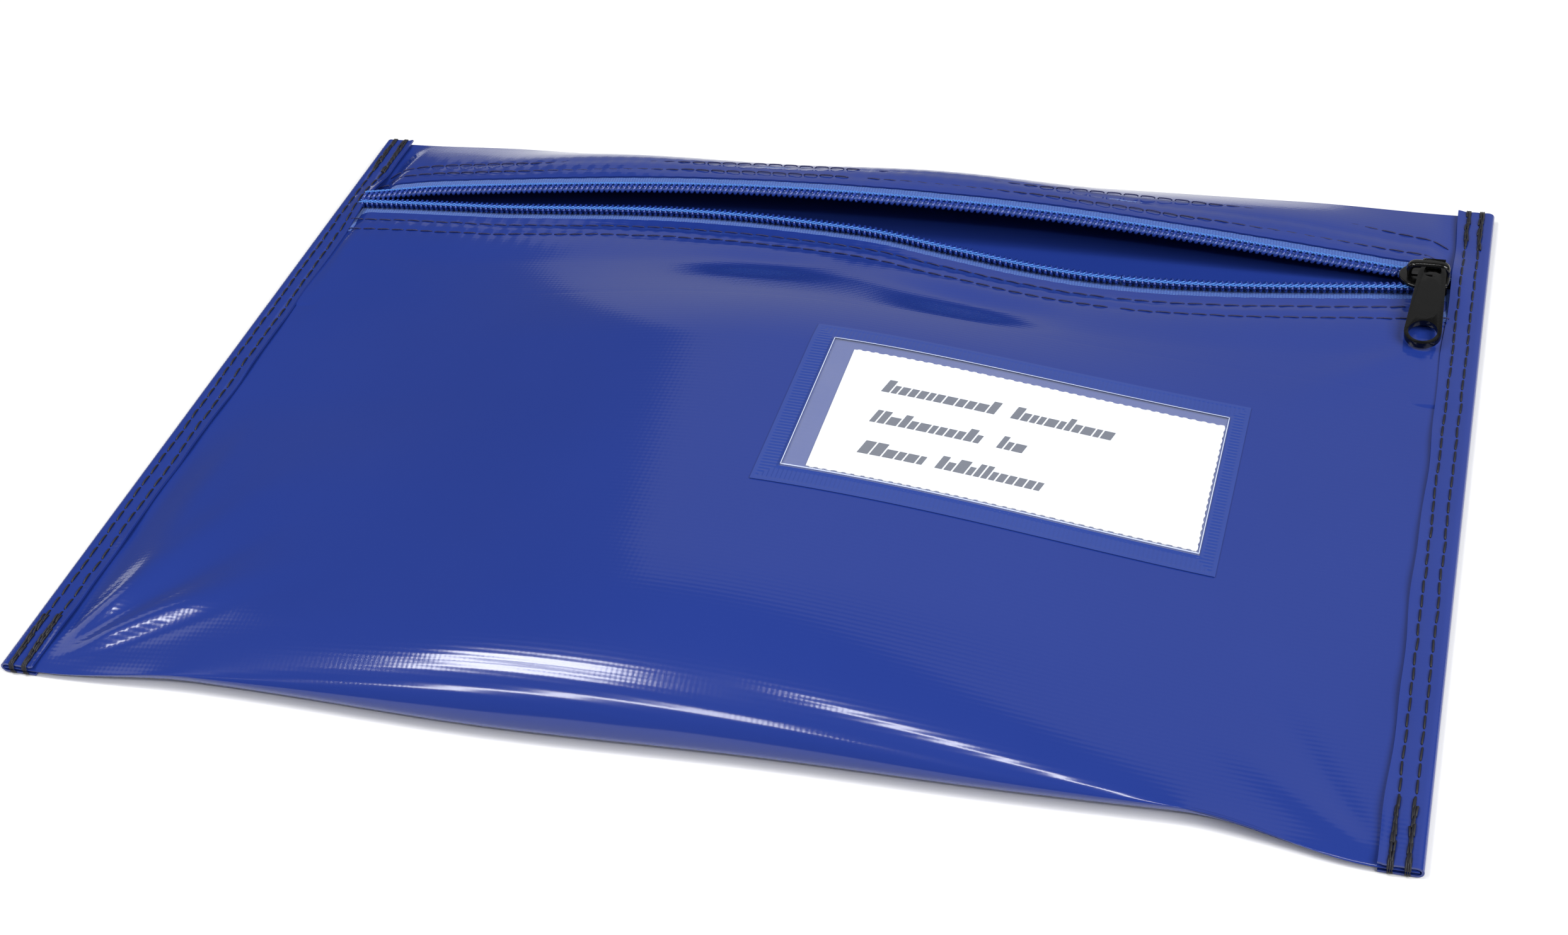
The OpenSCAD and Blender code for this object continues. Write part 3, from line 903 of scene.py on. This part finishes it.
def make_binding_seams(side, name):
    """Black stitches in two rows, denser in the tacks at both ends, on the top and the underside."""
    parts, tacks = [], []
    tack = 17.0
    gap = 0.7
    for row in (3.5, 7.2):
        y = -HALF_H + tack - 1
        while y < HALF_H - tack:
            wander = random.uniform(-0.13, 0.13)
            xa = HALF_W - row + wander
            xb = HALF_W - row + wander + random.uniform(-0.2, 0.2)
            ya, yb = y, y + STITCH_PITCH - gap
            parts.append(stitch((side * xa, ya, float(binding_top(xa, ya)) + 0.02),
                                (side * xb, yb, float(binding_top(xb, yb)) + 0.02), (0, 0, 1),
                                radius=0.26, arch=0.3))
            parts.append(stitch((side * xa, ya, 0.25), (side * xb, yb, 0.25), (0, 0, -1),
                                radius=0.2, sink=0.1, arch=0.03))
            y += STITCH_PITCH
        for end in (-1, 1):
            for run in range(3):
                y = 0.6
                while y < tack - 1:
                    xa = HALF_W - row + (run - 1) * 0.3 + random.uniform(-0.15, 0.15)
                    xb = xa + random.uniform(-0.3, 0.3)
                    ya = end * (HALF_H - y)
                    yb = end * (HALF_H - y - random.uniform(3.0, 3.8))
                    lift = 0.05 + 0.16 * run
                    tacks.append(stitch((side * xa, ya, float(binding_top(xa, ya)) + lift),
                                        (side * xb, yb, float(binding_top(xb, yb)) + lift),
                                        (0, 0, 1), radius=0.27, arch=0.32))
                    y += random.uniform(2.2, 2.9)
            for wrap in (-0.45, 0.0, 0.45):
                x = side * (HALF_W - row + wrap)
                top = float(binding_top(HALF_W - row, end * HALF_H))
                route = [(x, end * (HALF_H - 2.6), top + 0.05), (x, end * (HALF_H - 1.2), top + 0.42),
                         (x, end * (HALF_H - 0.1), top + 0.25), (x, end * (HALF_H + 0.28), top - 0.8),
                         (x, end * (HALF_H + 0.28), 0.9), (x, end * (HALF_H - 0.2), 0.12),
                         (x, end * (HALF_H - 2.0), 0.2)]
                tacks.append(tube(route, 0.26, sides=6))
    seam = joined(name + "_stitches", parts)
    give(seam, BLACK_THREAD)
    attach(seam, "bag")
    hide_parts(name + "_thread")
    return tacks


def make_tacks(parts):
    tacks = joined("corner_tack_stitches", parts)
    give(tacks, BLACK_THREAD)
    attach(tacks, "bag")
    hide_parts("corner_tacks")


# ---- label
WELD = {"left": 6.0, "right": 4.5, "side": 6.0}
RIB_PITCH = 1.15


def film_height(x, y):
    """Height of the film over the panel: ribbed at the weld, raised over the card."""
    left, right = x - FILM[0].x, FILM[1].x - x
    low, high = y - FILM[0].y, FILM[1].y - y
    inside = np.minimum(np.minimum(left - WELD["left"], right - WELD["right"]),
                        np.minimum(low, high) - WELD["side"])
    raised = ease(inside / 0.9)
    edge = np.minimum(np.minimum(left, right), np.minimum(low, high))
    along_x = np.minimum(low, high) < np.minimum(left, right)
    rib = 0.5 + 0.5 * np.sin(2 * math.pi * np.where(along_x, x, y) / RIB_PITCH)
    in_weld = ease((edge - 0.9) / 0.4) * ease(-(inside + 0.5) / 0.4)
    bead = 0.16 * np.exp(-((inside + 0.1) / 0.35) ** 2)
    return 0.30 + 0.62 * raised - 0.17 * rib * in_weld + bead


def make_film():
    xs = np.linspace(FILM[0].x, FILM[1].x, 404)
    ys = np.linspace(FILM[1].y, FILM[0].y, 228)
    x, y = xs[:, None], ys[None, :]
    top = points_of(x, y, panel_top(x, y) + film_height(x, y))
    film = sheet("window_film_clear", top, 0.22, up=-1)
    give(film, FILM_CLEAR, FILM_WELD)
    centres = np.zeros(len(film.data.polygons) * 3)
    film.data.polygons.foreach_get("center", centres)
    centres = centres.reshape(-1, 3) / MM
    inside = ((centres[:, 0] > FILM[0].x + WELD["left"]) & (centres[:, 0] < FILM[1].x - WELD["right"])
              & (centres[:, 1] > FILM[0].y + WELD["side"]) & (centres[:, 1] < FILM[1].y - WELD["side"]))
    film.data.polygons.foreach_set("material_index", np.where(inside, 0, 1).astype(np.int32))
    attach(film, "bag")
    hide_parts("window_film")
    inner_x = (FILM[0].x + WELD["left"] + 0.3, FILM[1].x - WELD["right"] - 0.3)
    inner_y = (FILM[0].y + WELD["side"] + 0.3, FILM[1].y - WELD["side"] - 0.3)
    # Painted highlight: thin pale tubes along the inner edge of the weld draw the bright line there. They are
    # thickest along the bottom edge and thinnest along the top.
    highlight_beads = []
    for ends_x, ends_y, radius in ((inner_x, (inner_y[0],) * 2, 0.17), ((inner_x[0],) * 2, inner_y, 0.12),
                                   (inner_x, (inner_y[1],) * 2, 0.09), ((inner_x[1],) * 2, inner_y, 0.12)):
        bead_x, bead_y = np.linspace(*ends_x, 90), np.linspace(*ends_y, 90)
        bead_z = panel_top(bead_x, bead_y) + 0.86
        highlight_beads.append(tube(np.stack([bead_x, bead_y, bead_z], axis=1), radius, sides=6))
    bead = joined("window_film_painted_highlight_bead", highlight_beads)
    give(bead, FILM_PAINTED_HIGHLIGHT)
    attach(bead, "bag")


def card_surface(x, y):
    return panel_top(x, y) + 0.42


def make_card():
    """Card with fine nibs along its torn edges, and bars where its lines of writing would be."""
    xs = np.linspace(CARD[0].x, CARD[1].x, 260)
    ys = np.linspace(CARD[1].y, CARD[0].y, 60)
    x, y = np.meshgrid(xs, ys, indexing="ij")
    nib = 0.14
    right = ease((x - CARD[1].x + 2) / 2)
    low = ease((CARD[0].y + 2 - y) / 2)
    high = ease((y - CARD[1].y + 2) / 2)
    px = x + right * nib * np.sign(np.sin(2 * math.pi * y / 2.4))
    py = y - low * nib * np.sign(np.sin(2 * math.pi * x / 2.4)) + high * nib * np.sign(
        np.sin(2 * math.pi * x / 2.4))
    top = np.stack([px, py, card_surface(px, py)], axis=2)
    card = sheet("address_card_sheet", top, 0.24, up=-1)
    give(card, CARD_MAT)
    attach(card, "card")
    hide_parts("address_card")
    lines = [(-1.8, [(0, 31), (34, 27)]), (-14.2, [(0, 30), (33, 7)]), (-26.6, [(0, 17), (20, 28)])]
    x_height, tall, slant, left = 3.3, 5.1, 0.26, 27.0
    parts = []
    for y0, words in lines:
        for start, length in words:
            u = 0.0
            while u < length - 1.2:
                width = min(random.choice((1.5, 1.9, 2.1, 2.8)), length - u)
                height = tall if u == 0 or random.random() < 0.22 else x_height
                grid_u, grid_v = np.meshgrid(np.linspace(u, u + width, 3), np.linspace(0, height, 4),
                                             indexing="ij")
                bx = left + start + grid_u + slant * grid_v
                by = y0 + grid_v - x_height / 2
                bz = card_surface(bx, by) + 0.03
                verts = np.stack([bx, by, bz], axis=2).reshape(-1, 3)
                faces = [(i * 4 + j, (i + 1) * 4 + j, (i + 1) * 4 + j + 1, i * 4 + j + 1)
                         for i in range(2) for j in range(3)]
                parts.append((verts, faces))
                u += width + 0.42
    print_bars = joined("card_print", parts)
    give(print_bars, INK)
    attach(print_bars, "card")


# ---- slider and puller
def smooth_outline(points, rounds=3):
    """Closed outline with its corners cut round (Chaikin)."""
    p = [Vector(q) for q in points]
    for _ in range(rounds):
        out = []
        for i, a in enumerate(p):
            b = p[(i + 1) % len(p)]
            out += [a * 0.75 + b * 0.25, a * 0.25 + b * 0.75]
        p = out
    return p


def prism(outline, low, high):
    n = len(outline)
    verts = [(p.x, p.y, low) for p in outline] + [(p.x, p.y, high) for p in outline]
    faces = [tuple(range(n - 1, -1, -1)), tuple(range(n, 2 * n))]
    faces += [(i, (i + 1) % n, (i + 1) % n + n, i + n) for i in range(n)]
    return verts, faces


def apply_modifiers(obj):
    bpy.context.view_layer.update()
    graph = bpy.context.evaluated_depsgraph_get()
    mesh = bpy.data.meshes.new_from_object(obj.evaluated_get(graph))
    obj.modifiers.clear()
    old = obj.data
    obj.data = mesh
    bpy.data.meshes.remove(old)


def cut(obj, cutters, operation="DIFFERENCE"):
    for cutter in cutters:
        modifier = obj.modifiers.new("cut", "BOOLEAN")
        modifier.operation = operation
        modifier.solver = "EXACT"
        modifier.object = cutter
        apply_modifiers(obj)
        bpy.data.objects.remove(cutter)


def face_outwards(obj):
    """Makes the normals of a closed mesh point out of it."""
    bm = bmesh.new()
    bm.from_mesh(obj.data)
    bmesh.ops.recalc_face_normals(bm, faces=bm.faces)
    bm.to_mesh(obj.data)
    bm.free()


def soften(obj, width, segments=3, angle=32):
    """Rounds the edges and sets smooth shading."""
    modifier = obj.modifiers.new("bevel", "BEVEL")
    modifier.width = width * MM
    modifier.segments = segments
    modifier.limit_method = "ANGLE"
    modifier.angle_limit = math.radians(angle)
    modifier.harden_normals = False
    apply_modifiers(obj)
    obj.data.shade_smooth()
    obj.data.set_sharp_from_angle(angle=math.radians(50))


def circle(radius, cx=0.0, cy=0.0, count=64):
    return [Vector((cx + radius * math.cos(2 * math.pi * i / count),
                    cy + radius * math.sin(2 * math.pi * i / count))) for i in range(count)]


SLIDER_X = SLIDER[0].x
SLIDER_Y = (SLIDER[0].y + SLIDER[1].y) / 2
SLIDER_L = SLIDER[1].x - SLIDER[0].x
SHOULDER = (SLIDER[1].y - SLIDER[0].y) / 2
TAIL = 4.5
PLATE_LOW = SLIDER[0].z
PLATE_HIGH = SLIDER[1].z


def slider_outline(grow=0.0):
    """Plate with a rounded nose, widest at the shoulders and narrow at the tail."""
    half = [(0.0, 1.3), (0.9, 3.0), (2.6, 4.8), (5.0, SHOULDER - 0.5), (7.0, SHOULDER - 0.7),
            (9.5, TAIL + 0.5), (SLIDER_L - 1.0, TAIL), (SLIDER_L, TAIL - 1.4)]
    points = [(x - grow if x < 3 else x + grow * (x > 12), -y - grow) for x, y in half]
    points += [(x, -y) for x, y in reversed(points)]
    return smooth_outline(points, 3)


def make_slider():
    """Two plates joined by the wedge between the coils, with rails that hold the coils in."""
    upper = joined("slider_body_cast", [prism(slider_outline(), PLATE_HIGH - 1.05, PLATE_HIGH)])
    soften(upper, 0.42, 4)
    lower = joined("slider_lower", [prism(slider_outline(-0.2), PLATE_LOW, PLATE_LOW + 0.8)])
    soften(lower, 0.3, 3)
    rails = []
    for side in (1, -1):
        outline = [(4.6, side * (SHOULDER - 0.8)), (4.6, side * (SHOULDER - 1.4)),
                   (SLIDER_L - 0.5, side * (TAIL - 0.95)), (SLIDER_L - 0.5, side * (TAIL - 0.2)),
                   (9.5, side * (TAIL + 0.2)), (7.0, side * (SHOULDER - 0.9))]
        outline = outline if side < 0 else outline[::-1]
        rails.append(prism([Vector(p) for p in outline], ROW_Z - 1.1, PLATE_HIGH - 0.6))
    rails.append(prism([Vector(p) for p in ((0.5, -1.1), (4.1, -0.3), (4.1, 0.3), (0.5, 1.1))],
                       PLATE_LOW + 0.4, PLATE_HIGH - 0.5))
    rail = joined("slider_rails", rails)
    soften(rail, 0.15, 2)
    for part in (upper, lower, rail):
        part.data.transform(Matrix.Translation((SLIDER_X * MM, SLIDER_Y * MM, 0)))
    merged = join_objects(upper, [lower, rail])
    give(merged, ENAMEL)
    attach(merged, "slider")
    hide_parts("slider_body")


def join_objects(target, others):
    bm = bmesh.new()
    for obj in [target, *others]:
        bm.from_mesh(obj.data)
    bm.to_mesh(target.data)
    bm.free()
    target.data.shade_smooth()
    target.data.set_sharp_from_angle(angle=math.radians(50))
    for obj in others:
        bpy.data.objects.remove(obj)
    return target


def make_cap():
    """Long bridge that the puller hangs on: a flat oval bar on two legs."""
    x0, x1 = CAP[0].x, CAP[1].x
    base, crown = PLATE_HIGH - 0.3, CAP[1].z
    bend = 1.7
    path = [(x0 + 0.75, base), (x0 + 0.75, base + 0.8)]
    for a in np.linspace(0, 90, 9):
        path.append((x0 + 0.75 + bend - bend * math.cos(math.radians(a)),
                     crown - 0.75 - bend + bend * math.sin(math.radians(a))))
    for t in np.linspace(0.12, 0.88, 7):
        path.append((x0 + 0.75 + bend + (x1 - x0 - 1.5 - 2 * bend) * t,
                     crown - 0.75 + 0.12 * math.sin(math.pi * t)))
    for a in np.linspace(90, 0, 9):
        path.append((x1 - 0.75 - bend + bend * math.cos(math.radians(a)),
                     crown - 0.75 - bend + bend * math.sin(math.radians(a))))
    path += [(x1 - 0.75, base + 0.8), (x1 - 0.75, base)]
    sides = 20
    rings, n = [], len(path)
    for i, (px, pz) in enumerate(path):
        a = path[max(0, i - 1)]
        b = path[min(n - 1, i + 1)]
        tx, tz = b[0] - a[0], b[1] - a[1]
        size = math.hypot(tx, tz)
        nx, nz = -tz / size, tx / size
        for k in range(sides):
            angle = 2 * math.pi * k / sides
            c, s = math.cos(angle), math.sin(angle)
            level = ease((pz - base - 1.2) / 1.2)
            across = (1.15 + 0.28 * level) * math.copysign(abs(c) ** 0.8, c)
            out = (0.62 + 0.28 * level) * math.copysign(abs(s) ** 0.8, s)
            rings.append((px + nx * out, SLIDER_Y + across, pz + nz * out))
    faces = [(i * sides + k, i * sides + (k + 1) % sides, (i + 1) * sides + (k + 1) % sides,
              (i + 1) * sides + k) for i in range(n - 1) for k in range(sides)]
    faces += [tuple(range(sides - 1, -1, -1)), tuple((n - 1) * sides + k for k in range(sides))]
    cap = joined("slider_cap_bridge", [(np.array(rings), faces)])
    face_outwards(cap)
    cap.data.shade_smooth()
    cap.data.set_sharp_from_angle(angle=math.radians(60))
    give(cap, ENAMEL)
    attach(cap, "slider")
    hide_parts("slider_cap")


HINGE = [j for j in frame["joints"] if j["name"] == "puller_swing"][0]["pos_m"]
PULLER_L = 31.0
RING_W = 9.8
RING_R = 3.8
EYE_W = 6.2
RIM_T = 1.8
CURL_IN = 1.42
CURL_OUT = 2.0
LEAN = 8.0             # degrees from level at rest, as in the CAD
TURN = -1.5            # degrees it is turned to one side


def curl_arm(x0, x1):
    """Part of the curl that passes under the cap's bar, open at the top."""
    outline = []
    for radius, start, end in ((CURL_OUT, -175, 42), (CURL_IN, 42, -175)):
        outline += [(radius * math.cos(a), radius * math.sin(a))
                    for a in np.radians(np.linspace(start, end, 30))]
    n = len(outline)
    verts = [(x0, y, z) for y, z in outline] + [(x1, y, z) for y, z in outline]
    faces = [tuple(range(n)), tuple(range(2 * n - 1, n - 1, -1))]
    faces += [((i + 1) % n, i, i + n, (i + 1) % n + n) for i in range(n)]
    return verts, faces


def make_puller():
    """Tapered blade with a raised rim, a curl under the cap's bar and a round ring."""
    ring_c = PULLER_L - RING_W / 2
    r = RING_W / 2
    outline = [Vector(p) for p in ((-EYE_W / 2, -1.5), (EYE_W / 2, -1.5), (3.7, -3.4), (3.8, -5.0))]
    outline += [Vector((r * math.cos(math.radians(a)), -ring_c + r * math.sin(math.radians(a))))
                for a in np.linspace(4, -184, 48)]
    outline += [Vector(p) for p in ((-3.8, -5.0), (-3.7, -3.4))]
    blank = joined("puller_cast", [prism(outline, -RIM_T / 2, RIM_T / 2)])
    face_outwards(blank)
    curl = joined("puller_curl", [curl_arm(-EYE_W / 2 + 0.1, EYE_W / 2 - 0.1)])
    face_outwards(curl)
    cut(blank, [curl], "UNION")
    ring = joined("ring_cut", [prism(circle(RING_R, 0, -ring_c), -2, 2)])
    eye = joined("eye_cut", [prism(smooth_outline([(-2.5, -5.2), (2.5, -5.2), (2.0, -0.3), (-2.0, -0.3)], 2),
                                  -3, 3)])
    pockets = []
    for z in (RIM_T / 2 - 0.42, -RIM_T / 2 - 1.0 + 0.42):
        pocket = smooth_outline([(-2.9, -6.2), (2.9, -6.2), (3.75, -ring_c + RING_R + 1.0),
                                 (-3.75, -ring_c + RING_R + 1.0)], 2)
        pockets.append(joined("pocket_cut", [prism(pocket, z, z + 1.0)]))
    cut(blank, [ring, eye, *pockets])
    soften(blank, 0.33, 4, 40)
    place = (Matrix.Translation(HINGE) @ Matrix.Rotation(math.radians(LEAN), 4, "X")
             @ Matrix.Rotation(math.radians(TURN), 4, "Z"))
    blank.data.transform(place)
    give(blank, ENAMEL)
    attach(blank, "puller")
    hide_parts("puller")


def make_pawl():
    """The pawl stays the CAD's own piece, in steel."""
    pawl = frame["nodes"]["lock_pawl"]
    pawl.data.materials.clear()
    pawl.data.materials.append(STEEL)


make_shell()
make_lips()
all_tacks = []
for side_sign, binding_name in ((-1, "left_binding"), (1, "right_binding")):
    make_binding(side_sign, binding_name)
    all_tacks += make_binding_seams(side_sign, binding_name)
make_tacks(all_tacks)
make_film()
make_card()
make_slider()
make_cap()
make_puller()
make_pawl()
